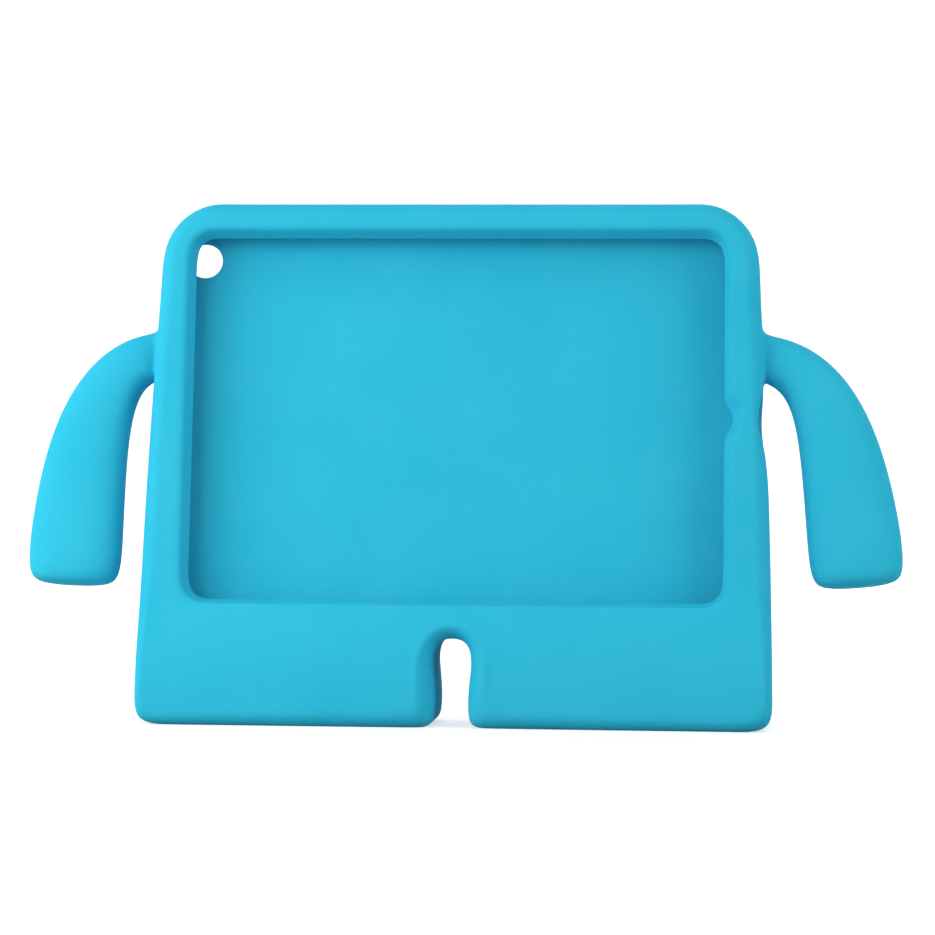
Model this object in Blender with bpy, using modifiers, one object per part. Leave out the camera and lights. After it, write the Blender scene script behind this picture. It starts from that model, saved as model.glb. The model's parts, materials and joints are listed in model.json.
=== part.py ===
# Moulded foam case with a pocket behind a wide window, two arms to carry it by and two feet to
# stand it on. It is one piece of soft closed-cell foam.
#
# Lengths are in metres. The case is modelled in the frame of its own window: x runs to the right
# along the window, up runs up it, and out points from it towards the reader. Up and out are
# zero at the middle of the pocket's front plane. The whole case then leans back by LEAN, so
# that its soles are level on z = 0, with the middle of its bounding box over the origin.

import math

import bmesh
import bpy
from mathutils import Matrix, Vector

# What the pocket is made to take, lying on its long side.
TABLET_WIDTH = 0.2001
TABLET_HEIGHT = 0.1347
TABLET_THICKNESS = 0.0075
TABLET_CORNER_RADIUS = 0.0100
HOME_BUTTON_INSET = 0.0116
REAR_CAMERA_INSET = 0.0100
POCKET_CLEARANCE = 0.0004

# How the case stands.
LEAN = math.radians(7.3)
GLASS_CENTRE_HEIGHT = 0.1039

# Walls round the pocket, and the lip over its edges.
SIDE_WALL = 0.0027
TOP_WALL = 0.0078
BACK_WALL = 0.0105
FRONT_PROUD = 0.0075
LIP_OVER_SIDES = 0.0086
LIP_OVER_TOP = 0.0038
LIP_OVER_BOTTOM = 0.0053
LIP_EDGE_THICKNESS = 0.0018
LIP_EDGE_ROUNDING = 0.0008
LEAST_BAND_WIDTH = 0.0012
WINDOW_CORNER_RADIUS = 0.0070
WINDOW_BEVEL_WIDTH = 0.0027

# Outer form.
TOP_CORNER_RADIUS = 0.0205
FRONT_EDGE_RADIUS = 0.0060
FRONT_EDGE_DEPTH = 0.0066
BACK_EDGE_RADIUS = 0.0060
FOOT_FLARE = 0.0051
FOOT_FLARE_CURVE = 1.8
FOOT_CORNER_RADIUS = 0.0067
SOLE_TRIM = 0.0003
FOOT_FRONT_BULGE = 0.0042
FRONT_BULGE_ABOVE = 0.0100
FRONT_BULGE_BELOW = 0.0180
FOOT_FRONT_FALL = 0.0022
FRONT_FALL_HEIGHT = 0.0210
FOOT_BACK_DEPTH = 0.0160
BACK_FLARE_ABOVE = 0.0300
BACK_FLARE_BELOW = 0.0260

# The gap between the feet: round at its top and narrower lower down.
LEG_GAP_TOP_WIDTH = 0.0140
LEG_GAP_LOW_WIDTH = 0.0113
LEG_GAP_HEIGHT = 0.0308
LEG_GAP_FOOT_RADIUS = 0.0044
LEG_GAP_FRONT_ROLL = 0.0072
LEG_GAP_FRONT_DEPTH = 0.0101
LEG_GAP_BACK_ROLL = 0.0110
LEG_GAP_BACK_DEPTH = 0.0090

# Arms: a neck on the side wall that swells into a hanging forearm.
ARM_ROOT_TOP = 0.0313
ARM_ROOT_HEIGHT = 0.0163
ARM_ROOT_FILLET = 0.0045
ARM_REACH = 0.0307
ARM_DROP = 0.0798
ARM_END_WIDTH = 0.0323
ARM_ROOT_THICKNESS = 0.0150
ARM_END_THICKNESS = 0.0230
ARM_END_ROUNDING = 0.0075
ARM_SWELL_CURVE = 1.85
LEFT_ARM_SPLAY = math.radians(-1.7)
RIGHT_ARM_SPLAY = math.radians(1.7)

# Openings through the walls and lip.
HOME_NOTCH_RADIUS = 0.0061
HOME_NOTCH_FLARE = 0.0036
HOME_NOTCH_RISE = 0.0009
CAMERA_HOLE_RADIUS = 0.0060
CAMERA_HOLE_FLARE = 0.0025
PORT_OPENING_LENGTH = 0.0170
PORT_OPENING_WIDTH = 0.0075
PORT_SCOOP_DEPTH = 0.0021
PORT_SCOOP_REACH = 0.0090
SPEAKER_SLOT_OFFSET = 0.0270
SPEAKER_SLOT_LENGTH = 0.0170
SPEAKER_SLOT_WIDTH = 0.0072
JACK_INSET = 0.0120
JACK_HOLE_RADIUS = 0.0041
VOLUME_INSET = 0.0480
VOLUME_PAD_LENGTH = 0.0260
POWER_INSET = 0.0160
POWER_PAD_LENGTH = 0.0140
PAD_WIDTH = 0.0055
PAD_DEPTH = 0.0010
CUT_BEYOND = 0.0020

# Fineness of the moulded form and of the round cutters.
SMOOTHING_LEVELS = 1
ROUND_SEGMENTS = 32

# Sizes that follow from the ones above.
POCKET_HALF_WIDTH = TABLET_WIDTH / 2 + POCKET_CLEARANCE
POCKET_HALF_HEIGHT = TABLET_HEIGHT / 2 + POCKET_CLEARANCE
POCKET_FLOOR = -TABLET_THICKNESS - POCKET_CLEARANCE
POCKET_ROOF = POCKET_CLEARANCE
POCKET_MIDDLE = (POCKET_FLOOR + POCKET_ROOF) / 2
BACK_FACE = POCKET_FLOOR - BACK_WALL
WINDOW_HALF_WIDTH = TABLET_WIDTH / 2 - LIP_OVER_SIDES
WINDOW_TOP = TABLET_HEIGHT / 2 - LIP_OVER_TOP
WINDOW_BOTTOM = -TABLET_HEIGHT / 2 + LIP_OVER_BOTTOM
HALF_WIDTH = POCKET_HALF_WIDTH + SIDE_WALL
BODY_TOP = POCKET_HALF_HEIGHT + TOP_WALL
SOLE = -(GLASS_CENTRE_HEIGHT + SOLE_TRIM) / math.cos(LEAN)
LEG_GAP_TOP = SOLE + LEG_GAP_HEIGHT
FOOT_TOP = -POCKET_HALF_HEIGHT
ARM_ROOT_BOTTOM = ARM_ROOT_TOP - ARM_ROOT_HEIGHT

# A smooth form shrinks from its cage on a bend. These put the cage points of a quarter round
# where the finished surface takes the round's own radius.
QUARTER_IN_TWO = 3 / (2 + math.cos(math.radians(45)))
QUARTER_IN_THREE = 3 / (2 + math.cos(math.radians(30)))


def ease(value, start, end):
    """Goes smoothly from 0 at start to 1 at end."""
    share = min(max((value - start) / (end - start), 0), 1)
    return share * share * (3 - 2 * share)


def half_width_at(up):
    """Half width of the body, which widens from its shoulders to the soles."""
    shoulder = BODY_TOP - TOP_CORNER_RADIUS
    share = min(max((shoulder - up) / (shoulder - SOLE), 0), 1)
    return HALF_WIDTH + FOOT_FLARE * (1 - (1 - share) ** FOOT_FLARE_CURVE)


def front_at(up):
    """How far the front face stands out: the feet bulge forward and fall back to the soles."""
    bulge = ease(-up, -FOOT_TOP - FRONT_BULGE_ABOVE, -FOOT_TOP + FRONT_BULGE_BELOW)
    fall = ease(-up, -SOLE - FRONT_FALL_HEIGHT, -SOLE)
    return FRONT_PROUD + FOOT_FRONT_BULGE * bulge - FOOT_FRONT_FALL * fall


def back_at(up):
    """Where the back face lies: the feet reach further back than the body."""
    return BACK_FACE - FOOT_BACK_DEPTH * ease(-up, -FOOT_TOP - BACK_FLARE_ABOVE,
                                              -FOOT_TOP + BACK_FLARE_BELOW)


def arc(centre, radius, degrees, factor):
    """Cage points of a round."""
    return [(centre[0] + radius * factor * math.cos(math.radians(a)),
             centre[1] + radius * factor * math.sin(math.radians(a))) for a in degrees]


def right_half_columns():
    """Outline points, top middle to leg gap, each with the window point that it faces.

    A third value, where there is one, is the point at which the front face starts to roll in.
    """
    corner_x = HALF_WIDTH - TOP_CORNER_RADIUS
    corner_up = BODY_TOP - TOP_CORNER_RADIUS
    window_x = WINDOW_HALF_WIDTH - WINDOW_CORNER_RADIUS
    top_shares = (0, 0.4, 0.75, 0.97)
    pairs = [((corner_x * s, BODY_TOP), (window_x * s, WINDOW_TOP)) for s in top_shares]
    pairs += zip(arc((corner_x, corner_up), TOP_CORNER_RADIUS, (75, 45, 15), QUARTER_IN_THREE),
                 arc((window_x, WINDOW_TOP - WINDOW_CORNER_RADIUS), WINDOW_CORNER_RADIUS,
                     (75, 45, 15), QUARTER_IN_THREE))

    lower_corner_up = WINDOW_BOTTOM + WINDOW_CORNER_RADIUS
    side_heights = [
        corner_up - 0.4 * TOP_CORNER_RADIUS,
        ARM_ROOT_TOP + ARM_ROOT_FILLET,
        ARM_ROOT_TOP,
        (ARM_ROOT_TOP + ARM_ROOT_BOTTOM) / 2,
        ARM_ROOT_BOTTOM,
        ARM_ROOT_BOTTOM - ARM_ROOT_FILLET,
        0,
        -1.15 * PORT_SCOOP_REACH,
        0.51 * lower_corner_up,
        0.84 * lower_corner_up,
    ]
    pairs += [((half_width_at(up), up), (WINDOW_HALF_WIDTH, up)) for up in side_heights]

    lower_corner = arc((window_x, lower_corner_up), WINDOW_CORNER_RADIUS, (-15, -45, -75),
                       QUARTER_IN_THREE)
    foot_side = SOLE + FOOT_CORNER_RADIUS - WINDOW_BOTTOM
    for share, window_point in zip((0.05, 0.45, 0.84), lower_corner):
        up = WINDOW_BOTTOM + foot_side * share
        pairs.append(((half_width_at(up), up), window_point))

    foot_x = half_width_at(SOLE) - FOOT_CORNER_RADIUS
    inner_x = LEG_GAP_LOW_WIDTH / 2 + LEG_GAP_FOOT_RADIUS
    outline = arc((foot_x, SOLE + FOOT_CORNER_RADIUS), FOOT_CORNER_RADIUS,
                  (-22.5, -67.5), QUARTER_IN_TWO)
    outline += [(inner_x + (foot_x - inner_x) * s, SOLE) for s in (0.86, 0.60, 0.34)]
    facing = (0.93, 0.85, 0.74, 0.60, 0.47)
    pairs += [(point, (window_x * s, WINDOW_BOTTOM)) for point, s in zip(outline, facing)]
    columns = [(point, window_point, None) for point, window_point in pairs]

    top_radius = LEG_GAP_TOP_WIDTH / 2
    low_x = LEG_GAP_LOW_WIDTH / 2
    roll = LEG_GAP_FRONT_ROLL
    low_up = SOLE + FRONT_EDGE_RADIUS
    middle_up = SOLE + 0.45 * LEG_GAP_HEIGHT
    shoulder_up = LEG_GAP_TOP - 1.2 * top_radius
    gap_outline = [(inner_x + (foot_x - inner_x) * 0.10, SOLE)]
    gap_outline += arc((inner_x, SOLE + LEG_GAP_FOOT_RADIUS), LEG_GAP_FOOT_RADIUS,
                       (-112.5, -157.5), QUARTER_IN_TWO)
    gap_outline += [(low_x, middle_up), (top_radius, shoulder_up)]
    gap_outline += arc((0, LEG_GAP_TOP - top_radius), top_radius, (45,), QUARTER_IN_TWO)
    gap_outline.append((0, LEG_GAP_TOP))
    roll_starts = [(low_x + 2.1 * roll, low_up), (low_x + 1.3 * roll, low_up + 0.1 * roll),
                   (low_x + roll, low_up + 0.3 * roll), (low_x + roll, middle_up),
                   (top_radius + 0.9 * roll, shoulder_up + 0.15 * roll)]
    roll_starts += arc((0, LEG_GAP_TOP - top_radius), top_radius + 0.9 * roll, (45,), 1)
    roll_starts.append((0, LEG_GAP_TOP + 0.95 * roll))
    facing = (0.355, 0.295, 0.250, 0.207, 0.122, 0.062, 0)
    columns += [(point, (window_x * s, WINDOW_BOTTOM), start)
                for point, s, start in zip(gap_outline, facing, roll_starts)]
    return columns


def on_sole(point, out):
    """Slides an outline point of the feet along the glass so that the sole stays level."""
    x, up = point
    return Vector((x, up - out * math.tan(LEAN) * ease(-up, -FOOT_TOP, -LEG_GAP_TOP)))


def column_profile(outline_point, window_point, front_roll_start):
    """Section of the case along one column, from inside the pocket round to the back face."""
    window = Vector(window_point)
    rim = Vector(outline_point)
    inward = (window - rim).normalized()
    beside_gap = 1 - ease(abs(rim.x), LEG_GAP_TOP_WIDTH, 3 * LEG_GAP_TOP_WIDTH)
    beside_gap *= ease(-rim.y, -FOOT_TOP, -LEG_GAP_TOP)
    beside_gap *= 1 - 0.7 * ease(-rim.y, -SOLE - 2 * LEG_GAP_FOOT_RADIUS, -SOLE)
    room = (window - rim).length - WINDOW_BEVEL_WIDTH
    roll_width = min(FRONT_EDGE_RADIUS, room - LEAST_BAND_WIDTH)

    front = front_at(rim.y)
    back = back_at(rim.y)
    roll_depth = FRONT_EDGE_DEPTH + (LEG_GAP_FRONT_DEPTH - FRONT_EDGE_DEPTH) * beside_gap
    tall = QUARTER_IN_TWO * math.cos(math.radians(22.5))
    short = QUARTER_IN_TWO * math.sin(math.radians(22.5))

    bevel_end = window - inward * WINDOW_BEVEL_WIDTH
    roll_start = Vector(front_roll_start or rim + inward * roll_width)
    bevel_front = front_at(bevel_end.y)
    points = [
        (window, POCKET_MIDDLE),
        (window, LIP_EDGE_THICKNESS),
        (window - inward * LIP_EDGE_ROUNDING, LIP_EDGE_THICKNESS + LIP_EDGE_ROUNDING),
        (bevel_end + inward * LIP_EDGE_ROUNDING, bevel_front - LIP_EDGE_ROUNDING),
        (bevel_end - inward * LIP_EDGE_ROUNDING, bevel_front),
    ]
    middle = bevel_end.lerp(roll_start, 0.55)
    points.append((middle, front_at(middle.y)))
    points.append((roll_start, front_at(roll_start.y)))

    def rolled(inset, depth, out_face, sign):
        out = out_face - sign * depth
        return on_sole(rim + inset, out), out

    across = roll_start - rim
    points.append(rolled(across * (1 - short), roll_depth * (1 - tall), front, 1))
    points.append(rolled(across * (1 - tall), roll_depth * (1 - short), front, 1))
    wall_front = front - roll_depth
    back_width = BACK_EDGE_RADIUS + (LEG_GAP_BACK_ROLL - BACK_EDGE_RADIUS) * beside_gap
    back_depth = BACK_EDGE_RADIUS + (LEG_GAP_BACK_DEPTH - BACK_EDGE_RADIUS) * beside_gap
    wall_back = back + back_depth
    for share in (0.04, 0.5, 0.96):
        points.append(rolled(across * 0, 0, wall_front + (wall_back - wall_front) * share, 1))
    across = inward * back_width
    points.append(rolled(across * (1 - tall), back_depth * (1 - short), back, -1))
    points.append(rolled(across * (1 - short), back_depth * (1 - tall), back, -1))
    near = rim + inward * back_width * 1.5
    far = Vector((window.x * 0.94, max(rim.y * 0.86, FOOT_TOP + BACK_FLARE_ABOVE)))
    flat = far.lerp(Vector((0, 0)), 0.15)
    for point in (near, near.lerp(far, 0.5), far, flat):
        points.append((point, back_at(point.y)))
    return points


WALL_RINGS = (9, 10, 11)


def arm_centre(share):
    """Point on the arm's centre line, a cubic curve from the neck to the hand."""
    root = Vector((half_width_at(ARM_ROOT_TOP), (ARM_ROOT_TOP + ARM_ROOT_BOTTOM) / 2))
    hand = root + Vector((ARM_REACH, -ARM_DROP))
    shoulder = root + Vector((ARM_REACH * 0.76, -ARM_DROP * 0.030))
    elbow = root + Vector((ARM_REACH * 0.91, -ARM_DROP * 0.385))
    rest = 1 - share
    return (root * rest ** 3 + shoulder * 3 * rest ** 2 * share
            + elbow * 3 * rest * share ** 2 + hand * share ** 3)


def arm_section(share, scale, wall_middle, splay):
    """Eight cage points round the arm, from its outer side over the front to the back."""
    centre = arm_centre(share)
    step = 0.002
    along = (arm_centre(share + step) - arm_centre(share - step)).normalized()
    outer = Vector((-along.y, along.x))
    swell = math.sin(math.pi / 2 * min(share, 1))
    half_width = (ARM_ROOT_HEIGHT + (ARM_END_WIDTH - ARM_ROOT_HEIGHT) * swell ** ARM_SWELL_CURVE) / 2
    half_width *= scale
    half_depth = (ARM_ROOT_THICKNESS + (ARM_END_THICKNESS - ARM_ROOT_THICKNESS) * swell) / 2 * scale
    flat, corner = 1.05, 0.90
    pattern = [(flat, 0), (corner, corner), (0, flat), (-corner, corner),
               (-flat, 0), (-corner, -corner), (0, -flat), (corner, -corner)]
    root = arm_centre(0)
    turn = splay * ease(share, 0, 0.4)
    points = []
    for across, deep in pattern:
        offset = centre + outer * half_width * across - root
        x = root.x + offset.x * math.cos(turn) - offset.y * math.sin(turn)
        up = root.y + offset.x * math.sin(turn) + offset.y * math.cos(turn)
        points.append((x, up, wall_middle + half_depth * deep))
    return points


def build_cage():
    """Coarse closed cage of the whole case, without the pocket's undercut and the holes."""
    mesh = bmesh.new()

    def vertex(x, up, out):
        return mesh.verts.new((x, -out, up))

    right = right_half_columns()
    columns = [(1, column) for column in right]
    columns += [(-1, column) for column in reversed(right[1:-1])]
    grid = []
    for side, column in columns:
        profile = column_profile(*column)
        line = []
        for ring, (point, out) in enumerate(profile):
            x, up = point
            if side > 0 and ring >= WALL_RINGS[0] - 1 and abs(x) > WINDOW_HALF_WIDTH:
                near_port = math.exp(-(up / PORT_SCOOP_REACH) ** 2)
                behind = ease(out, back_at(up), POCKET_FLOOR)
                x -= PORT_SCOOP_DEPTH * 1.4 * near_port * behind
            line.append(vertex(side * x, up, out))
        grid.append(line)

    count = len(grid)
    heights = [column[0][1] for _, column in columns]
    root_columns = {1: [], -1: []}
    for index, (side, column) in enumerate(columns):
        on_side = abs(column[0][0]) > WINDOW_HALF_WIDTH
        if on_side and ARM_ROOT_BOTTOM - 1e-6 <= heights[index] <= ARM_ROOT_TOP + 1e-6:
            root_columns[side].append(index)

    covered = set()
    for indices in root_columns.values():
        covered.update(sorted(indices)[:2])
    for index in range(count):
        following = (index + 1) % count
        for ring in range(len(grid[0]) - 1):
            if index in covered and ring in WALL_RINGS[:2]:
                continue
            mesh.faces.new((grid[index][ring], grid[index][ring + 1],
                            grid[following][ring + 1], grid[following][ring]))
    mesh.faces.new([line[0] for line in grid])
    mesh.faces.new([line[-1] for line in reversed(grid)])

    shares = (0.06, 0.15, 0.27, 0.41, 0.56, 0.71, 0.84)
    end_share = ARM_END_ROUNDING / ARM_DROP
    for side, splay in ((1, RIGHT_ARM_SPLAY), (-1, LEFT_ARM_SPLAY)):
        top, middle, bottom = sorted(root_columns[side], key=lambda i: -heights[i])
        front, between, back = WALL_RINGS
        loop = [grid[top][between], grid[top][front], grid[middle][front], grid[bottom][front],
                grid[bottom][between], grid[bottom][back], grid[middle][back], grid[top][back]]
        wall_middle = -grid[middle][between].co.y
        sections = [(share, 1) for share in shares]
        sections += [(1 - end_share, 1), (1 - end_share * 0.27, 0.97), (1, 0.74)]
        for share, scale in sections:
            ring = [vertex(side * x, up, out)
                    for x, up, out in arm_section(share, scale, wall_middle, splay)]
            for k in range(8):
                mesh.faces.new((loop[k], ring[k], ring[(k + 1) % 8], loop[(k + 1) % 8]))
            loop = ring
        mesh.faces.new(loop)

    bmesh.ops.recalc_face_normals(mesh, faces=mesh.faces)
    return mesh


def new_object(name, mesh_data, collection, frame):
    """Adds a mesh to a collection as a new object in the case's leaning frame."""
    data = bpy.data.meshes.new(name)
    mesh_data.to_mesh(data)
    mesh_data.free()
    item = bpy.data.objects.new(name, data)
    item.parent = frame
    collection.objects.link(item)
    return item


def centre_over_origin(frame, item):
    """Slides the leaning frame until the item's box is centred over the origin."""
    bpy.context.view_layer.update()
    graph = bpy.context.evaluated_depsgraph_get()
    shape = bpy.data.meshes.new_from_object(item.evaluated_get(graph))
    places = [item.matrix_world @ point.co for point in shape.vertices]
    bpy.data.meshes.remove(shape)
    for axis in (0, 1):
        values = [place[axis] for place in places]
        frame.location[axis] -= (min(values) + max(values)) / 2


def rounded_slab(width, height, low, high, radius, segments):
    """Slab with rounded corners in the glass plane, between two values of out."""
    mesh = bmesh.new()
    bmesh.ops.create_cube(mesh, size=1)
    bmesh.ops.scale(mesh, vec=(width, high - low, height), verts=mesh.verts)
    bmesh.ops.translate(mesh, vec=(0, -(high + low) / 2, 0), verts=mesh.verts)
    depth_edges = [e for e in mesh.edges
                   if abs(e.verts[0].co.y - e.verts[1].co.y) > (high - low) / 2]
    bmesh.ops.bevel(mesh, geom=depth_edges, offset=radius, segments=segments, affect='EDGES',
                    profile=0.5)
    return mesh


def cone_through(x, up, low, high, low_radius, high_radius):
    """Round cutter square to the glass, from one value of out to another."""
    mesh = bmesh.new()
    bmesh.ops.create_cone(mesh, cap_ends=True, segments=ROUND_SEGMENTS, radius1=low_radius,
                          radius2=high_radius, depth=high - low)
    for point in mesh.verts:
        across, above, along = point.co
        point.co = (x + across, -(along + (high + low) / 2), up + above)
    bmesh.ops.recalc_face_normals(mesh, faces=mesh.faces)
    return mesh


def pill(length, width, depth):
    """Round-ended bar, long along z and deep along x, centred on the origin."""
    mesh = bmesh.new()
    bmesh.ops.create_cube(mesh, size=1)
    bmesh.ops.scale(mesh, vec=(depth, width, length), verts=mesh.verts)
    end_edges = [e for e in mesh.edges if abs(e.verts[0].co.x - e.verts[1].co.x) > depth / 2]
    bmesh.ops.bevel(mesh, geom=end_edges, offset=width / 2 * 0.98, segments=5, affect='EDGES',
                    profile=0.5)
    return mesh


def moved(mesh, x, up, out):
    """Moves a cutter's mesh into place."""
    bmesh.ops.translate(mesh, vec=(x, -out, up), verts=mesh.verts)
    return mesh


def turned_flat(mesh):
    """Turns a pill from a side wall to the top wall: long along x and deep along z."""
    for point in mesh.verts:
        x, y, z = point.co
        point.co = (z, y, x)
    bmesh.ops.reverse_faces(mesh, faces=mesh.faces)
    return mesh


def below_soles():
    """Block under the floor, which leaves the soles flat and level."""
    depth = 0.020
    mesh = bmesh.new()
    bmesh.ops.create_cube(mesh, size=1)
    bmesh.ops.scale(mesh, vec=(3 * HALF_WIDTH, 3 * HALF_WIDTH, depth), verts=mesh.verts)
    bmesh.ops.translate(mesh, vec=(0, 0, -GLASS_CENTRE_HEIGHT - depth / 2), verts=mesh.verts)
    bmesh.ops.rotate(mesh, cent=(0, 0, 0), matrix=Matrix.Rotation(LEAN, 3, 'X'), verts=mesh.verts)
    return mesh


def make_cutters(collection, frame):
    """Every hollow that is cut into the moulded form."""
    tablet_middle = -TABLET_THICKNESS / 2
    wall_reach = SIDE_WALL + FOOT_FLARE + 2 * CUT_BEYOND
    wall_x = POCKET_HALF_WIDTH + wall_reach / 2 - CUT_BEYOND
    home_x = TABLET_WIDTH / 2 - HOME_BUTTON_INSET
    camera_x = -(TABLET_WIDTH / 2 - REAR_CAMERA_INSET)
    camera_up = TABLET_HEIGHT / 2 - REAR_CAMERA_INSET
    jack_up = -(TABLET_HEIGHT / 2 - JACK_INSET)
    power_up = TABLET_HEIGHT / 2 - POWER_INSET
    volume_x = -(TABLET_WIDTH / 2 - VOLUME_INSET)
    pad_x = half_width_at(power_up)
    shapes = {
        "floor_below_soles": below_soles(),
        "home_button_notch": cone_through(
            home_x, HOME_NOTCH_RISE, 0, FRONT_PROUD + CUT_BEYOND,
            HOME_NOTCH_RADIUS, HOME_NOTCH_RADIUS + HOME_NOTCH_FLARE),
        "rear_camera_hole": cone_through(
            camera_x, camera_up, BACK_FACE - CUT_BEYOND, POCKET_MIDDLE,
            CAMERA_HOLE_RADIUS + CAMERA_HOLE_FLARE, CAMERA_HOLE_RADIUS),
        "charging_port_opening": moved(pill(PORT_OPENING_LENGTH, PORT_OPENING_WIDTH, wall_reach),
                                       wall_x, 0, tablet_middle),
        "speaker_slot": moved(pill(SPEAKER_SLOT_LENGTH, SPEAKER_SLOT_WIDTH, wall_reach),
                              wall_x, -SPEAKER_SLOT_OFFSET, tablet_middle),
        "headphone_hole": moved(pill(2.05 * JACK_HOLE_RADIUS, 2 * JACK_HOLE_RADIUS, wall_reach),
                                -wall_x, jack_up, tablet_middle),
        "power_pad": moved(pill(POWER_PAD_LENGTH, PAD_WIDTH, 2 * PAD_DEPTH),
                           -pad_x, power_up, tablet_middle),
        "volume_pad": moved(turned_flat(pill(VOLUME_PAD_LENGTH, PAD_WIDTH, 2 * PAD_DEPTH)),
                            volume_x, BODY_TOP, tablet_middle),
        "tablet_pocket": rounded_slab(2 * POCKET_HALF_WIDTH, 2 * POCKET_HALF_HEIGHT, POCKET_FLOOR,
                                      POCKET_ROOF, TABLET_CORNER_RADIUS, 6),
    }
    cutters = []
    for name, mesh in shapes.items():
        cutter = new_object(name, mesh, collection, frame)
        cutter.hide_render = True
        cutter.display_type = 'WIRE'
        cutters.append(cutter)
    return cutters


def foam_material():
    """Matte sky-blue foam."""
    material = bpy.data.materials.new("blue_foam")
    material.use_nodes = True
    shader = material.node_tree.nodes["Principled BSDF"]
    shader.inputs["Base Color"].default_value = (0.012, 0.490, 0.700, 1)
    shader.inputs["Roughness"].default_value = 0.62
    shader.inputs["Metallic"].default_value = 0
    return material


def main():
    for item in list(bpy.data.objects):
        bpy.data.objects.remove(item, do_unlink=True)
    parts = bpy.data.collections.new("foam_tablet_case")
    cutter_set = bpy.data.collections.new("cutters")
    for collection in (parts, cutter_set):
        bpy.context.scene.collection.children.link(collection)

    frame = bpy.data.objects.new("leaning_frame", None)
    frame.location = (0, 0, GLASS_CENTRE_HEIGHT)
    frame.rotation_euler = (-LEAN, 0, 0)
    parts.objects.link(frame)

    case = new_object("foam_case", build_cage(), parts, frame)
    case.data.materials.append(foam_material())
    case.data.shade_smooth()
    smooth = case.modifiers.new("smooth_form", 'SUBSURF')
    smooth.levels = SMOOTHING_LEVELS
    smooth.render_levels = SMOOTHING_LEVELS
    centre_over_origin(frame, case)
    for cutter in make_cutters(cutter_set, frame):
        cut = case.modifiers.new("cut_" + cutter.name, 'BOOLEAN')
        cut.operation = 'DIFFERENCE'
        cut.solver = 'EXACT'
        cut.object = cutter


main()
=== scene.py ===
# Blue foam case with arms, standing on its two feet in a white studio.
# Lengths are in metres. The case is shaped in the frame of its own leaning window: x runs to the
# right along the window, up runs up it and out points from it towards the reader.
import json
import math

import bmesh
import bpy
from mathutils import Matrix, Vector

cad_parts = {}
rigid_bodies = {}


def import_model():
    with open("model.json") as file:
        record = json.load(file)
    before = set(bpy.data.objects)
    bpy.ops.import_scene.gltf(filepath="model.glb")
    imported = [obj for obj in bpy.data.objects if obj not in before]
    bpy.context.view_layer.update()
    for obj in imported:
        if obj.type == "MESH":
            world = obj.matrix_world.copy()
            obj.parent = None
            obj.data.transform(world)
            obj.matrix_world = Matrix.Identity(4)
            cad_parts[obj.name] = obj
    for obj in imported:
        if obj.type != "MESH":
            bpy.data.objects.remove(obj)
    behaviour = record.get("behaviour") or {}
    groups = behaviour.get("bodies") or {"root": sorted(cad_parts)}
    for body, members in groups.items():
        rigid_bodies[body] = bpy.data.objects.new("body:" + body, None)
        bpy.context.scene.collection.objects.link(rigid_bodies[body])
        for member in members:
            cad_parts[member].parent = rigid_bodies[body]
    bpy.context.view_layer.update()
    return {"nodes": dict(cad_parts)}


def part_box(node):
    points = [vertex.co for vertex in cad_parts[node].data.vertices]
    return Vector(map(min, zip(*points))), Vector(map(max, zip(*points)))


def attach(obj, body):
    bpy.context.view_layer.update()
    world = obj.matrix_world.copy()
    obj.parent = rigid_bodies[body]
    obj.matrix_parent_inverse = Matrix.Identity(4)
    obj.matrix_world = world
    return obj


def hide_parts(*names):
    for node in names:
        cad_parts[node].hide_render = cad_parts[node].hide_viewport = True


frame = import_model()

scene = bpy.context.scene
print("frame loaded:", sorted(frame["nodes"]))

# The pocket behind the window.
pocket = {
    "halfWidth": 0.10045,
    "halfHeight": 0.06775,
    "floor": -0.0079,
    "roof": 0.0004,
    "cornerRadius": 0.0100,
    "cornerFillet": 0.0009,
    "floorStart": 0.70,  # the flat middle of the floor ends here
}

window = {
    "halfWidth": 0.09145,
    "top": 0.06355,
    "bottom": -0.06205,
    "cornerRadius": 0.0070,
    "lipThickness": 0.0018,
    "bevelWidth": 0.0027,
    "edgeRounding": 0.0008,
    "leastBand": 0.0012,
    "cornerFan": (75, 45, 15),
}

body = {
    "leanDegrees": 7.3,
    "middleHeight": 0.1039,
    "halfWidth": 0.10315,
    "top": 0.07555,
    "frontProud": 0.0075,
    "backFace": -0.0184,
    "topCornerRadius": 0.0205,
    "frontEdgeRadius": 0.0060,
    "frontEdgeDepth": 0.0066,
    "backEdgeRadius": 0.0060,
    "soleTrim": 0.0003,
    "portScoopDepth": 0.0021,
    "portScoopReach": 0.0090,
    "topColumns": (0, 0.2, 0.4, 0.6, 0.8, 0.97),
    "smoothing": 2,
}

feet = {
    "flare": 0.0051,
    "flareCurve": 1.8,
    "cornerRadius": 0.0067,
    "frontBulge": 0.0042,
    "bulgeAbove": 0.0100,
    "bulgeBelow": 0.0180,
    "frontFall": 0.0022,
    "fallHeight": 0.0210,
    "backDepth": 0.0160,
    "backAbove": 0.0300,
    "backBelow": 0.0260,
    "gapTopWidth": 0.0140,
    "gapLowWidth": 0.0113,
    "gapHeight": 0.0308,
    "gapFootRadius": 0.0044,
    "gapFrontRoll": 0.0072,
    "gapFrontDepth": 0.0101,
    "gapBackRoll": 0.0110,
    "gapBackDepth": 0.0090,
    "gapMiddle": 0.45,
    "sideColumns": (0.05, 0.45, 0.84),
    "soleColumns": (0.86, 0.60, 0.34, 0.10),
    # where the columns under the window cross the lip, from its corner to its middle
    "lipColumns": (0.93, 0.85, 0.74, 0.60, 0.47, 0.355, 0.295, 0.250, 0.207, 0.122, 0.062, 0),
}

lean = math.radians(body["leanDegrees"])
sole = -(body["middleHeight"] + body["soleTrim"]) / math.cos(lean)
footTop = -pocket["halfHeight"]
gapTop = sole + feet["gapHeight"]

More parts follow.
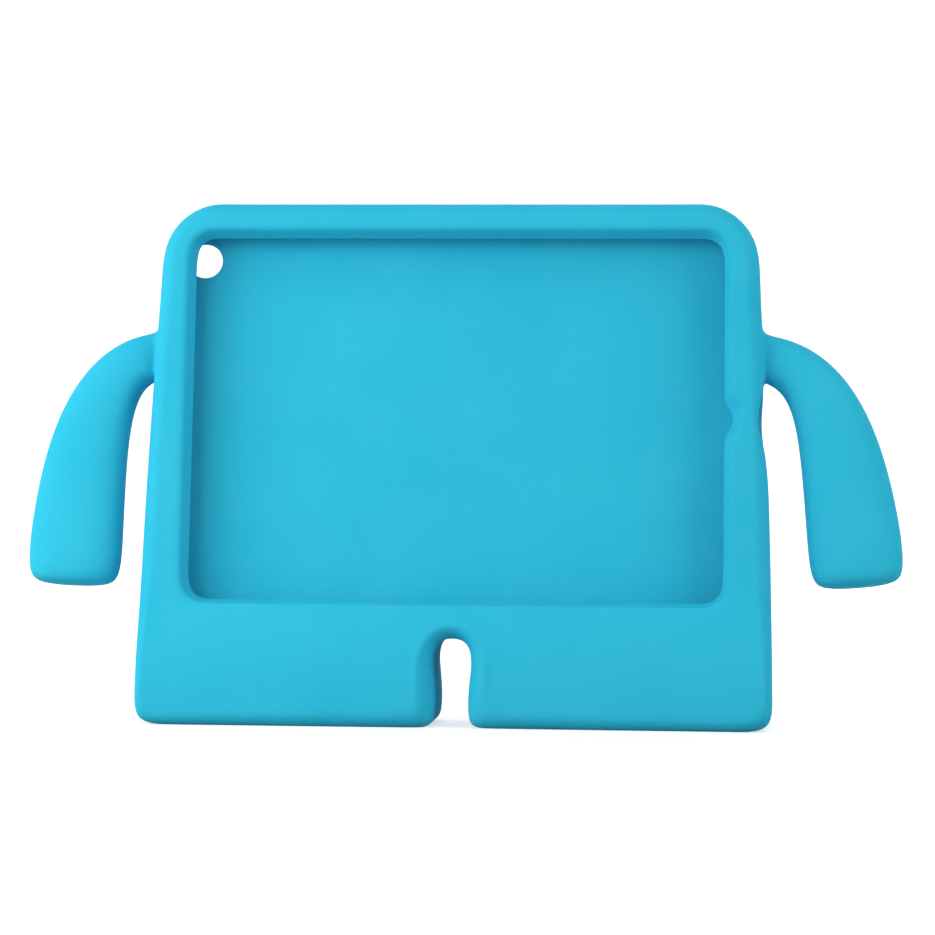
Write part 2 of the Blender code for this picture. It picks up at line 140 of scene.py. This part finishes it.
# A smooth form shrinks from its cage on a bend. These put the cage points of a quarter round
# where the finished surface takes the round's own radius.
quarterInTwo = 3 / (2 + math.cos(math.radians(45)))
quarterInThree = 3 / (2 + math.cos(math.radians(30)))


def ease(value, start, end):
    share = min(max((value - start) / (end - start), 0), 1)
    return share * share * (3 - 2 * share)


def halfWidthAt(up):
    # the body widens from its shoulders to the soles
    shoulder = body["top"] - body["topCornerRadius"]
    share = min(max((shoulder - up) / (shoulder - sole), 0), 1)
    return body["halfWidth"] + feet["flare"] * (1 - (1 - share) ** feet["flareCurve"])


def frontAt(up):
    # the feet bulge forward of the frame and fall back towards the soles
    bulge = ease(-up, -footTop - feet["bulgeAbove"], -footTop + feet["bulgeBelow"])
    fall = ease(-up, -sole - feet["fallHeight"], -sole)
    return body["frontProud"] + feet["frontBulge"] * bulge - feet["frontFall"] * fall


def backAt(up):
    # and reach further back than the body
    return body["backFace"] - feet["backDepth"] * ease(
        -up, -footTop - feet["backAbove"], -footTop + feet["backBelow"])


def arc(centre, radius, degrees, factor):
    return [Vector((centre[0] + radius * factor * math.cos(math.radians(a)),
                    centre[1] + radius * factor * math.sin(math.radians(a)))) for a in degrees]


# The round bite in the right lip.
notch = {
    "x": 0.08845,
    "up": 0.0009,
    "radius": 0.0061,
    "flare": 0.0036,
    "angles": (56, 40, 20, 0, -20, -40, -56),
    "spread": 0.0078,
}

arms = {
    "rootTop": 0.0313,
    "rootHeight": 0.0163,
    "rootFillet": 0.0045,
    "reach": 0.0307,
    "drop": 0.0798,
    "endWidth": 0.0323,
    "rootThickness": 0.0150,
    "endThickness": 0.0230,
    "endRounding": 0.0075,
    "swellCurve": 1.85,
    "leftSplay": -1.7,
    "rightSplay": 1.7,
    # control points of the centre line, the loop round it and where the loops go
    "bends": ((0, 0), (0.76, 0.030), (0.91, 0.385), (1, 1)),
    "roundness": ((1.05, 0), (0.9, 0.9), (0, 1.05), (-0.9, 0.9),
                  (-1.05, 0), (-0.9, -0.9), (0, -1.05), (0.9, -0.9)),
    "sections": (0.06, 0.15, 0.27, 0.41, 0.56, 0.71, 0.84),
    "splayedBy": 0.4,
}
rootBottom = arms["rootTop"] - arms["rootHeight"]


def column(outline, lip, bevel, pocketPoint, rollStart=None):
    return {"rim": Vector(outline), "lip": Vector(lip), "bevel": Vector(bevel),
            "pocket": Vector(pocketPoint), "rollStart": rollStart and Vector(rollStart)}


# Columns of the cage run round the case. Each one joins a point of the outline to the window's
# lip, the front end of its bevel and the pocket's wall behind it. Beside the gap between the
# feet it also says where the front face starts to roll in.
def halfColumns(side):
    cornerX = body["halfWidth"] - body["topCornerRadius"]
    cornerUp = body["top"] - body["topCornerRadius"]
    radius = window["cornerRadius"]
    wide = window["bevelWidth"]
    lipX = window["halfWidth"] - radius
    pocketX = pocket["halfWidth"] - pocket["cornerRadius"]
    pocketUp = pocket["halfHeight"] - pocket["cornerRadius"]
    columns = []
    for share in body["topColumns"]:
        columns.append(column((cornerX * share, body["top"]), (lipX * share, window["top"]),
                              (lipX * share, window["top"] + wide),
                              (pocketX * share, pocket["halfHeight"])))
    fan = window["cornerFan"]
    rims = arc((cornerX, cornerUp), body["topCornerRadius"], fan, quarterInThree)
    lips = arc((lipX, window["top"] - radius), radius, fan, quarterInThree)
    bevels = arc((lipX, window["top"] - radius), radius + wide, fan, quarterInThree)
    walls = arc((pocketX, pocketUp), pocket["cornerRadius"], fan, quarterInThree)
    columns += [column(*four) for four in zip(rims, lips, bevels, walls)]

    lowUp = window["bottom"] + radius
    heights = [cornerUp - 0.4 * body["topCornerRadius"], arms["rootTop"] + arms["rootFillet"],
               arms["rootTop"], (arms["rootTop"] + rootBottom) / 2, rootBottom]
    low = [1.15 * -body["portScoopReach"], 0.37 * lowUp, 0.58 * lowUp, 0.84 * lowUp]
    if side > 0:
        heights.append(notch["up"] + 1.25 * notch["spread"])
    else:
        heights += [rootBottom - arms["rootFillet"], 0]
    for up in heights:
        columns.append(sideColumn(up, wide))
    if side > 0:
        for angle in notch["angles"]:
            turn = Vector((math.cos(math.radians(angle)), math.sin(math.radians(angle))))
            centre = Vector((notch["x"], notch["up"]))
            up = notch["up"] + notch["spread"] * angle / notch["angles"][0]
            columns.append(column((halfWidthAt(up), up), centre + turn * notch["radius"],
                                  centre + turn * (notch["radius"] + notch["flare"]),
                                  (pocket["halfWidth"], up)))
    for up in low:
        columns.append(sideColumn(up, wide))

    fan = [-angle for angle in reversed(window["cornerFan"])]
    lips = arc((lipX, lowUp), radius, fan, quarterInThree)
    bevels = arc((lipX, lowUp), radius + wide, fan, quarterInThree)
    walls = arc((pocketX, -pocketUp), pocket["cornerRadius"], fan, quarterInThree)
    footSide = sole + feet["cornerRadius"] - window["bottom"]
    for share, lip, bevel, wall in zip(feet["sideColumns"], lips, bevels, walls):
        up = window["bottom"] + footSide * share
        columns.append(column((halfWidthAt(up), up), lip, bevel, wall))

    footX = halfWidthAt(sole) - feet["cornerRadius"]
    innerX = feet["gapLowWidth"] / 2 + feet["gapFootRadius"]
    lowX, topRadius = feet["gapLowWidth"] / 2, feet["gapTopWidth"] / 2
    rims = arc((footX, sole + feet["cornerRadius"]), feet["cornerRadius"], (-22.5, -67.5),
               quarterInTwo)
    rims += [(innerX + (footX - innerX) * share, sole) for share in feet["soleColumns"]]
    rims += arc((innerX, sole + feet["gapFootRadius"]), feet["gapFootRadius"], (-112.5, -157.5),
                quarterInTwo)
    middleUp = sole + feet["gapMiddle"] * feet["gapHeight"]
    shoulderUp = gapTop - 1.2 * topRadius
    rims += [(lowX, middleUp), (topRadius, shoulderUp)]
    rims += arc((0, gapTop - topRadius), topRadius, (45,), quarterInTwo)
    rims.append((0, gapTop))

    soft = feet["gapFrontRoll"]
    lowUp = sole + body["frontEdgeRadius"]
    starts = [None] * 5
    starts += [(lowX + 2.1 * soft, lowUp), (lowX + 1.3 * soft, lowUp + 0.1 * soft),
               (lowX + soft, lowUp + 0.3 * soft), (lowX + soft, middleUp),
               (topRadius + 0.9 * soft, shoulderUp + 0.15 * soft)]
    starts += arc((0, gapTop - topRadius), topRadius + 0.9 * soft, (45,), 1)
    starts.append((0, gapTop + 0.95 * soft))
    for rim, share, start in zip(rims, feet["lipColumns"], starts):
        columns.append(column(rim, (lipX * share, window["bottom"]),
                              (lipX * share, window["bottom"] - wide),
                              (pocketX * share, -pocket["halfHeight"]), start))
    return columns


def sideColumn(up, wide):
    return column((halfWidthAt(up), up), (window["halfWidth"], up),
                  (window["halfWidth"] + wide, up), (pocket["halfWidth"], up))


def onSole(x, up, out):
    # slides a foot's outline along the window, so that the sole stays level
    return x, up - out * math.tan(lean) * ease(-up, -footTop, -gapTop)


# Section along one column: out of the pocket, over the lip, round the side and onto the back.
def section(col):
    rim, lip, bevel, wall = col["rim"], col["lip"], col["bevel"], col["pocket"]
    fillet = pocket["cornerFillet"]
    toLip = (lip - wall).normalized()
    inward = (lip - rim).normalized()
    across = (bevel - lip).normalized()
    gap = 1 - ease(abs(rim.x), feet["gapTopWidth"], 3 * feet["gapTopWidth"])
    gap *= ease(-rim.y, -footTop, -gapTop)
    gap *= 1 - 0.7 * ease(-rim.y, -sole - 2 * feet["gapFootRadius"], -sole)
    roll = min(body["frontEdgeRadius"], (bevel - rim).length - window["leastBand"])
    rollStart = col["rollStart"] or rim + inward * roll
    depth = body["frontEdgeDepth"] + (feet["gapFrontDepth"] - body["frontEdgeDepth"]) * gap
    front, back = frontAt(rim.y), backAt(rim.y)
    bevelFront = frontAt(bevel.y)
    tall = quarterInTwo * math.cos(math.radians(22.5))
    short = quarterInTwo * math.sin(math.radians(22.5))
    soft = window["edgeRounding"]

    points = [
        (wall * pocket["floorStart"], pocket["floor"]),
        (wall + toLip * 3 * fillet, pocket["floor"]),
        (wall + toLip * fillet, pocket["floor"]),
        (wall, pocket["floor"] + fillet),
        (wall, pocket["roof"] - fillet),
        (wall + toLip * fillet, pocket["roof"]),
        (lip - toLip * 2 * soft, pocket["roof"]),
        (lip - toLip * soft * 0.4, pocket["roof"] + soft * 0.15),
        (lip, (pocket["roof"] + window["lipThickness"]) / 2),
        (lip + across * soft * 0.5, window["lipThickness"] + soft * 0.3),
        (lip.lerp(bevel, 0.5), (window["lipThickness"] + bevelFront) / 2),
        (bevel - across * soft, bevelFront - soft),
        (bevel + across * soft * 0.6, bevelFront - soft * 0.1),
    ]
    middle = bevel.lerp(rollStart, 0.5)
    points.append((middle, frontAt(middle.y)))
    points.append((rollStart, frontAt(rollStart.y)))

    def rolled(inset, outward):
        x, up = rim + inset
        return Vector(onSole(x, up, outward)), outward

    inset = rollStart - rim
    points.append(rolled(inset * (1 - short), front - depth * (1 - tall)))
    points.append(rolled(inset * (1 - tall), front - depth * (1 - short)))
    backRoll = body["backEdgeRadius"] + (feet["gapBackRoll"] - body["backEdgeRadius"]) * gap
    backDepth = body["backEdgeRadius"] + (feet["gapBackDepth"] - body["backEdgeRadius"]) * gap
    wallFront, wallBack = front - depth, back + backDepth
    for share in (0.04, 0.5, 0.96):
        points.append(rolled(inset * 0, wallFront + (wallBack - wallFront) * share))
    inset = inward * backRoll
    points.append(rolled(inset * (1 - tall), back + backDepth * (1 - short)))
    points.append(rolled(inset * (1 - short), back + backDepth * (1 - tall)))
    # the last rings spread over the back
    near = rim + inward * backRoll * 1.5
    far = Vector((lip.x * 0.94, max(rim.y * 0.86, footTop + feet["backAbove"])))
    for point in (near, near.lerp(far, 0.5), far, far * 0.85):
        points.append((point, backAt(point.y)))
    return points


wallRings = (17, 18, 19)  # the rings of a section that run down the side wall


def armCentre(share):
    # centre line of an arm, from its neck on the wall to the hand
    root = Vector((halfWidthAt(arms["rootTop"]), (arms["rootTop"] + rootBottom) / 2))
    points = [root + Vector((arms["reach"] * a, -arms["drop"] * b)) for a, b in arms["bends"]]
    rest = 1 - share
    weights = (rest ** 3, 3 * rest ** 2 * share, 3 * rest * share ** 2, share ** 3)
    return sum((p * w for p, w in zip(points, weights)), Vector((0, 0)))


def armSection(share, scale, wallMiddle, splay):
    centre, root = armCentre(share), armCentre(0)
    along = (armCentre(share + 0.002) - armCentre(share - 0.002)).normalized()
    outer = Vector((-along.y, along.x))
    swell = math.sin(math.pi / 2 * min(share, 1))
    growth = swell ** arms["swellCurve"]
    wide = arms["rootHeight"] + (arms["endWidth"] - arms["rootHeight"]) * growth
    thick = arms["rootThickness"] + (arms["endThickness"] - arms["rootThickness"]) * swell
    turn = Matrix.Rotation(math.radians(splay) * ease(share, 0, arms["splayedBy"]), 2)
    points = []
    for across, deep in arms["roundness"]:
        x, up = root + turn @ (centre + outer * wide / 2 * scale * across - root)
        points.append((x, up, wallMiddle + thick / 2 * scale * deep))
    return points


def buildCage():
    mesh = bmesh.new()

    def vertex(x, up, out):
        return mesh.verts.new((x, -out, up))

    columns = [(1, col) for col in halfColumns(1)]
    columns += [(-1, col) for col in reversed(halfColumns(-1)[1:-1])]
    grid = []
    for side, col in columns:
        line = []
        for ring, (point, out) in enumerate(section(col)):
            x, up = point
            if side > 0 and ring >= wallRings[0] - 1 and x > window["halfWidth"]:
                # the wall dips in behind the charging port
                near = math.exp(-(up / body["portScoopReach"]) ** 2)
                x -= body["portScoopDepth"] * 1.4 * near * ease(out, backAt(up), pocket["floor"])
            line.append(vertex(side * x, up, out))
        grid.append(line)

    heights = [col["rim"].y for _, col in columns]
    roots = {1: [], -1: []}
    for index, (side, col) in enumerate(columns):
        if col["rim"].x > window["halfWidth"]:
            if rootBottom - 1e-6 <= heights[index] <= arms["rootTop"] + 1e-6:
                roots[side].append(index)
    covered = set(i for indices in roots.values() for i in sorted(indices)[:2])
    for index, line in enumerate(grid):
        following = grid[(index + 1) % len(grid)]
        for ring in range(len(line) - 1):
            if index in covered and ring in wallRings[:2]:
                continue  # an arm leaves the wall here
            mesh.faces.new((line[ring], line[ring + 1], following[ring + 1], following[ring]))
    mesh.faces.new([line[0] for line in grid])
    mesh.faces.new([line[-1] for line in reversed(grid)])

    endShare = arms["endRounding"] / arms["drop"]
    sections = [(share, 1) for share in arms["sections"]]
    sections += [(1 - endShare, 1), (1 - endShare * 0.27, 0.97), (1, 0.74)]
    front, between, back = wallRings
    for side, splay in ((1, arms["rightSplay"]), (-1, arms["leftSplay"])):
        top, middle, bottom = sorted(roots[side], key=lambda i: -heights[i])
        loop = [grid[top][between], grid[top][front], grid[middle][front], grid[bottom][front],
                grid[bottom][between], grid[bottom][back], grid[middle][back], grid[top][back]]
        wallMiddle = -grid[middle][between].co.y
        for share, scale in sections:
            ring = [vertex(side * x, up, out)
                    for x, up, out in armSection(share, scale, wallMiddle, splay)]
            for k in range(8):
                mesh.faces.new((loop[k], ring[k], ring[(k + 1) % 8], loop[(k + 1) % 8]))
            loop = ring
        mesh.faces.new(loop)
    bmesh.ops.recalc_face_normals(mesh, faces=mesh.faces)
    return mesh


def newObject(name, mesh, parent=None):
    data = bpy.data.meshes.new(name)
    mesh.to_mesh(data)
    mesh.free()
    item = bpy.data.objects.new(name, data)
    item.parent = parent
    scene.collection.objects.link(item)
    return item


# Holes and key pads. Each cutter opens out into a round at its mouth, so the foam rolls into it.
holes = {
    "measuredFrom": (0.10005, 0.06735),  # insets start here, half across and half up
    "middle": -0.00375,  # depth of the side holes behind the window's plane
    "port": {"length": 0.0170, "width": 0.0075},
    "speaker": {"offset": 0.0270, "length": 0.0170, "width": 0.0072},
    "jack": {"inset": 0.0120, "radius": 0.0041},
    "camera": {"inset": 0.0100, "radius": 0.0060, "flare": 0.0025, "steps": 48},
    "volume": {"inset": 0.0480, "length": 0.0260},
    "power": {"inset": 0.0160, "length": 0.0140},
    "padWidth": 0.0055,
    "padDepth": 0.0010,
    "mouth": 0.0011,
    "overPad": 0.35,  # how much of its mouth a key pad loses
    "beyond": 0.0030,
}


def pillOutline(length, width, grow, steps=9):
    # round-ended outline, long along its second axis
    radius = width / 2 + grow
    reach = (length - width) / 2
    points = []
    for end, first in ((1, 0), (-1, 180)):
        for k in range(steps + 1):
            a = math.radians(first + 180 * k / steps)
            points.append((radius * math.cos(a), end * reach + radius * math.sin(a)))
    return points


def loft(stations, place):
    # skins outlines that are each given with their depth
    mesh = bmesh.new()
    loops = [[mesh.verts.new(place(a, b, deep)) for a, b in outline] for outline, deep in stations]
    for first, second in zip(loops, loops[1:]):
        for k in range(len(first)):
            j = (k + 1) % len(first)
            mesh.faces.new((first[k], first[j], second[j], second[k]))
    mesh.faces.new(reversed(loops[0]))
    mesh.faces.new(loops[-1])
    bmesh.ops.recalc_face_normals(mesh, faces=mesh.faces)
    return mesh


def mouthed(length, width, bottom, surface):
    # stations of a cutter from its bottom to past the surface, with a rounded mouth
    mouth = holes["mouth"]
    stations = [(pillOutline(length, width, 0), bottom),
                (pillOutline(length, width, 0), surface - mouth)]
    for degrees in (20, 40, 60, 75):
        a = math.radians(degrees)
        stations.append((pillOutline(length, width, mouth * (1 - math.cos(a))),
                         surface - mouth * (1 - math.sin(a))))
    stations.append((pillOutline(length, width, mouth * 0.95), surface + holes["beyond"]))
    return stations


def makeCutters(parent):
    farX, farUp = holes["measuredFrom"]
    middle = holes["middle"]
    inside = pocket["halfWidth"] - holes["beyond"]
    port, speaker, jack = holes["port"], holes["speaker"], holes["jack"]
    portWall = halfWidthAt(0) - body["portScoopDepth"]
    speakerUp = -speaker["offset"]
    jackUp = -(farUp - jack["inset"])
    powerUp = farUp - holes["power"]["inset"]
    volumeX = -(farX - holes["volume"]["inset"])
    camera = holes["camera"]
    cameraX = -(farX - camera["inset"])
    cameraUp = farUp - camera["inset"]
    pad, deep = holes["padWidth"], holes["padDepth"]
    mouth = holes["mouth"]
    cutters = {
        "portCutter": loft(mouthed(port["length"], port["width"], inside, portWall),
                           lambda a, b, d: (d, -(middle + a), b)),
        "speakerCutter": loft(
            mouthed(speaker["length"], speaker["width"], inside, halfWidthAt(speakerUp)),
            lambda a, b, d: (d, -(middle + a), speakerUp + b)),
        "jackCutter": loft(
            mouthed(2 * jack["radius"], 2 * jack["radius"], inside, halfWidthAt(jackUp)),
            lambda a, b, d: (-d, -(middle + a), jackUp + b)),
        "powerPad": loft(
            mouthed(holes["power"]["length"], pad, halfWidthAt(powerUp) - deep,
                    halfWidthAt(powerUp) + mouth * holes["overPad"]),
            lambda a, b, d: (-d, -(middle + a), powerUp + b)),
        "volumePad": loft(
            mouthed(holes["volume"]["length"], pad, body["top"] - deep,
                    body["top"] + mouth * holes["overPad"]),
            lambda a, b, d: (volumeX + b, -(middle + a), d)),
    }
    wide = camera["radius"] + camera["flare"]
    back = body["backFace"]
    stations = [(pocket["floor"] + holes["beyond"], camera["radius"]),
                (pocket["floor"] - 0.0008, camera["radius"]),
                (back + mouth, wide)]
    for degrees in (25, 50, 75):
        a = math.radians(degrees)
        stations.append((back + mouth * (1 - math.sin(a)), wide + mouth * (1 - math.cos(a))))
    stations.append((back - holes["beyond"], wide + mouth))
    steps = camera["steps"]
    rounds = [([(radius * math.cos(math.tau * k / steps), radius * math.sin(math.tau * k / steps))
                for k in range(steps)], out) for out, radius in stations]
    cutters["cameraCutter"] = loft(rounds, lambda a, b, d: (cameraX + a, -d, cameraUp + b))
    made = []
    for name, mesh in cutters.items():
        cutter = newObject(name, mesh, parent)
        cutter.hide_render = True
        cutter.display_type = 'WIRE'
        made.append(cutter)
    return made


def belowSoles(parent):
    # block under the floor, which leaves the soles flat and level
    mesh = bmesh.new()
    bmesh.ops.create_cube(mesh, size=1)
    size = Vector((3 * body["halfWidth"], 3 * body["halfWidth"], 0.02))
    bmesh.ops.scale(mesh, vec=size, verts=mesh.verts)
    drop = (0, 0, -body["middleHeight"] - size.z / 2)
    bmesh.ops.translate(mesh, vec=drop, verts=mesh.verts)
    bmesh.ops.rotate(mesh, cent=(0, 0, 0), matrix=Matrix.Rotation(lean, 3, 'X'), verts=mesh.verts)
    cutter = newObject("soleCutter", mesh, parent)
    cutter.hide_render = True
    return cutter


# Closed-cell foam: one blue all through, with a fine moulded skin.
foam = {
    "colour": (0.026, 0.464, 0.657),
    "paler": (0.032, 0.480, 0.672),
    "roughness": (0.70, 0.84),
    "specular": 0.05,
    "mottleScale": 32.0,
    "skinScale": 1100.0,
    "poreScale": 900.0,
    "skinHeight": 0.00003,
    "poreDepth": 0.00004,
}


def foamMaterial():
    material = bpy.data.materials.new("blueFoam")
    material.use_nodes = True
    nodes, links = material.node_tree.nodes, material.node_tree.links
    shader = nodes["Principled BSDF"]
    shader.inputs["Metallic"].default_value = 0
    shader.inputs["Specular IOR Level"].default_value = foam["specular"]
    place = nodes.new("ShaderNodeTexCoord").outputs["Object"]

    def noise(scale, detail):
        node = nodes.new("ShaderNodeTexNoise")
        node.inputs["Scale"].default_value = scale
        node.inputs["Detail"].default_value = detail
        links.new(place, node.inputs["Vector"])
        return node.outputs["Fac"]

    def ramp(value, low, high, first, last):
        node = nodes.new("ShaderNodeMapRange")
        for socket, number in zip(("From Min", "From Max", "To Min", "To Max"),
                                  (low, high, first, last)):
            node.inputs[socket].default_value = number
        links.new(value, node.inputs["Value"])
        return node.outputs["Result"]

    mottle = noise(foam["mottleScale"], 4)
    tint = nodes.new("ShaderNodeMix")
    tint.data_type = 'RGBA'
    tint.inputs["A"].default_value = (*foam["colour"], 1)
    tint.inputs["B"].default_value = (*foam["paler"], 1)
    links.new(ramp(mottle, 0.35, 0.65, 0, 1), tint.inputs["Factor"])
    links.new(tint.outputs["Result"], shader.inputs["Base Color"])
    skin = noise(foam["skinScale"], 5)
    links.new(ramp(skin, 0.3, 0.7, *foam["roughness"]), shader.inputs["Roughness"])

    pores = nodes.new("ShaderNodeTexVoronoi")
    pores.inputs["Scale"].default_value = foam["poreScale"]
    links.new(place, pores.inputs["Vector"])
    skinBump = nodes.new("ShaderNodeBump")
    skinBump.inputs["Distance"].default_value = foam["skinHeight"]
    links.new(skin, skinBump.inputs["Height"])
    poreBump = nodes.new("ShaderNodeBump")
    poreBump.inputs["Distance"].default_value = foam["poreDepth"]
    links.new(ramp(pores.outputs["Distance"], 0.05, 0.28, 0, 1), poreBump.inputs["Height"])
    links.new(skinBump.outputs["Normal"], poreBump.inputs["Normal"])
    links.new(poreBump.outputs["Normal"], shader.inputs["Normal"])
    return material


def makeCase():
    holder = bpy.data.objects.new("leaningHolder", None)
    scene.collection.objects.link(holder)
    holder.rotation_euler = (-lean, 0, 0)
    holder.location = (0, 0, body["middleHeight"])
    item = newObject("foamCase", buildCage(), holder)
    item.data.materials.append(foamMaterial())
    smooth = item.modifiers.new("smoothForm", 'SUBSURF')
    smooth.levels = smooth.render_levels = body["smoothing"]
    bpy.context.view_layer.update()
    for cutter in [belowSoles(holder)] + makeCutters(holder):
        cut = item.modifiers.new("cut_" + cutter.name, 'BOOLEAN')
        cut.operation = 'DIFFERENCE'
        cut.solver = 'EXACT'
        cut.object = cutter
    # the finished mesh is kept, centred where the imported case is
    low, high = (Vector(corner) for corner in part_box("foam_case"))
    graph = bpy.context.evaluated_depsgraph_get()
    shape = bpy.data.meshes.new_from_object(item.evaluated_get(graph))
    shape.transform(item.matrix_world)
    places = [point.co for point in shape.vertices]
    for axis in (0, 1):
        values = [place[axis] for place in places]
        middle = (min(values) + max(values)) / 2
        shift = Vector((0, 0, 0))
        shift[axis] = (low[axis] + high[axis]) / 2 - middle
        shape.transform(Matrix.Translation(shift))
    shape.name = "foamCase"
    for extra in [child for child in holder.children] + [holder]:
        bpy.data.objects.remove(extra)
    case = bpy.data.objects.new("foamCase", shape)
    scene.collection.objects.link(case)
    shape.shade_smooth()
    even = case.modifiers.new("evenNormals", 'WEIGHTED_NORMAL')
    even.keep_sharp = True
    return case


case = makeCase()
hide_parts("foam_case")
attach(case, "root")
print("case:", len(case.data.polygons), "faces")

studio = {
    "floorSize": 6.0,
    "wallBehind": 1.6,
    "wallHeight": 3.0,
    "bendRadius": 0.7,
    "bendSteps": 12,
    "paperGrey": 0.5,
    "paperRoughness": 0.9,
    "ambient": 0.32,
    "floorGlow": (0.60, 1.0),
    "glowDistance": (0.25, 1.10),
    "lamps": {
        "frontLeft": {"at": (-0.386, -0.669, 0.297), "size": 0.4, "watts": 1.9},
        "lowLeft": {"at": (-0.586, -0.338, 0.271), "size": 0.35, "watts": 2.2},
        "sideLeft": {"at": (-0.676, -0.0, 0.271), "size": 0.35, "watts": 0.6},
        "frontRight": {"at": (0.837, -0.483, 0.349), "size": 0.5, "watts": 2.0},
        "highRight": {"at": (0.612, -0.354, 0.797), "size": 0.5, "watts": 2.3},
        "back": {"at": (0.0, 0.737, 0.606), "size": 0.6, "watts": 3.6},
        "backLeft": {"at": (-0.557, 0.663, 0.59), "size": 0.5, "watts": 1.7},
        "backRight": {"at": (0.557, 0.663, 0.59), "size": 0.5, "watts": 1.7},
    },
    "aim": (0, 0, 0.09),
}


def seenBySight(nodes, links):
    # 1 for rays from the camera and for reflections of them, otherwise 0
    path = nodes.new("ShaderNodeLightPath")
    total = path.outputs["Is Camera Ray"]
    for name in ("Is Glossy Ray", "Is Transmission Ray"):
        most = nodes.new("ShaderNodeMath")
        most.operation = 'MAXIMUM'
        links.new(total, most.inputs[0])
        links.new(path.outputs[name], most.inputs[1])
        total = most.outputs["Value"]
    return total


def makeStudio():
    profile = [(-studio["floorSize"] / 2, 0.0)]
    centre = (studio["wallBehind"] - studio["bendRadius"], studio["bendRadius"])
    for k in range(studio["bendSteps"] + 1):
        a = math.radians(-90 + 90 * k / studio["bendSteps"])
        profile.append((centre[0] + studio["bendRadius"] * math.cos(a),
                        centre[1] + studio["bendRadius"] * math.sin(a)))
    profile.append((studio["wallBehind"], studio["wallHeight"]))
    mesh = bmesh.new()
    rows = [[mesh.verts.new((x, y, z)) for x in (-studio["floorSize"] / 2, studio["floorSize"] / 2)]
            for y, z in profile]
    for first, second in zip(rows, rows[1:]):
        mesh.faces.new((first[0], first[1], second[1], second[0]))
    floor = newObject("studioFloor", mesh)
    floor.data.shade_smooth()
    paper = bpy.data.materials.new("whitePaper")
    paper.use_nodes = True
    nodes, links = paper.node_tree.nodes, paper.node_tree.links
    shader = nodes["Principled BSDF"]
    grey = studio["paperGrey"]
    shader.inputs["Base Color"].default_value = (grey, grey, grey, 1)
    shader.inputs["Roughness"].default_value = studio["paperRoughness"]
    shader.inputs["Emission Color"].default_value = (1, 1, 1, 1)
    # further from the case, where less lamp light falls, the paper glows more
    distance = nodes.new("ShaderNodeVectorMath")
    distance.operation = 'LENGTH'
    links.new(nodes.new("ShaderNodeNewGeometry").outputs["Position"], distance.inputs[0])
    rise = nodes.new("ShaderNodeMapRange")
    rise.interpolation_type = 'SMOOTHSTEP'
    for socket, number in zip(("From Min", "From Max", "To Min", "To Max"),
                              studio["glowDistance"] + studio["floorGlow"]):
        rise.inputs[socket].default_value = number
    links.new(distance.outputs["Value"], rise.inputs["Value"])
    glow = nodes.new("ShaderNodeMath")
    glow.operation = 'MULTIPLY'
    links.new(seenBySight(nodes, links), glow.inputs[0])
    links.new(rise.outputs["Result"], glow.inputs[1])
    links.new(glow.outputs["Value"], shader.inputs["Emission Strength"])
    floor.data.materials.append(paper)

    world = bpy.data.worlds.new("studioWorld")
    scene.world = world
    world.use_nodes = True
    nodes, links = world.node_tree.nodes, world.node_tree.links
    back = nodes["Background"]
    back.inputs["Color"].default_value = (1, 1, 1, 1)
    strength = nodes.new("ShaderNodeMapRange")
    strength.inputs["To Min"].default_value = studio["ambient"]
    strength.inputs["To Max"].default_value = 1
    links.new(seenBySight(nodes, links), strength.inputs["Value"])
    links.new(strength.outputs["Result"], back.inputs["Strength"])

    for name, lamp in studio["lamps"].items():
        data = bpy.data.lights.new(name + "Lamp", 'AREA')
        data.shape = 'SQUARE'
        data.size = lamp["size"]
        data.energy = lamp["watts"]
        item = bpy.data.objects.new(name + "Lamp", data)
        item.location = lamp["at"]
        aim = Vector(studio["aim"]) - item.location
        item.rotation_euler = aim.to_track_quat('-Z', 'Y').to_euler()
        scene.collection.objects.link(item)


makeStudio()
scene.view_settings.view_transform = 'Standard'
print("studio ready")

# The picture is taken from a little to the right, level with the middle of the case.
view = {
    "at": (0.08272, -1.02988, 0.08800),
    "turn": (90.001, -0.394, 4.507),
    "lens": 115.5,
    "sensor": 36,
    "farthest": 20,
}


def makeCamera():
    data = bpy.data.cameras.new("frontCamera")
    data.lens = view["lens"]
    data.sensor_width = view["sensor"]
    data.clip_end = view["farthest"]
    item = bpy.data.objects.new("frontCamera", data)
    item.location = view["at"]
    item.rotation_euler = [math.radians(a) for a in view["turn"]]
    scene.collection.objects.link(item)
    scene.camera = item


makeCamera()
print("camera ready")
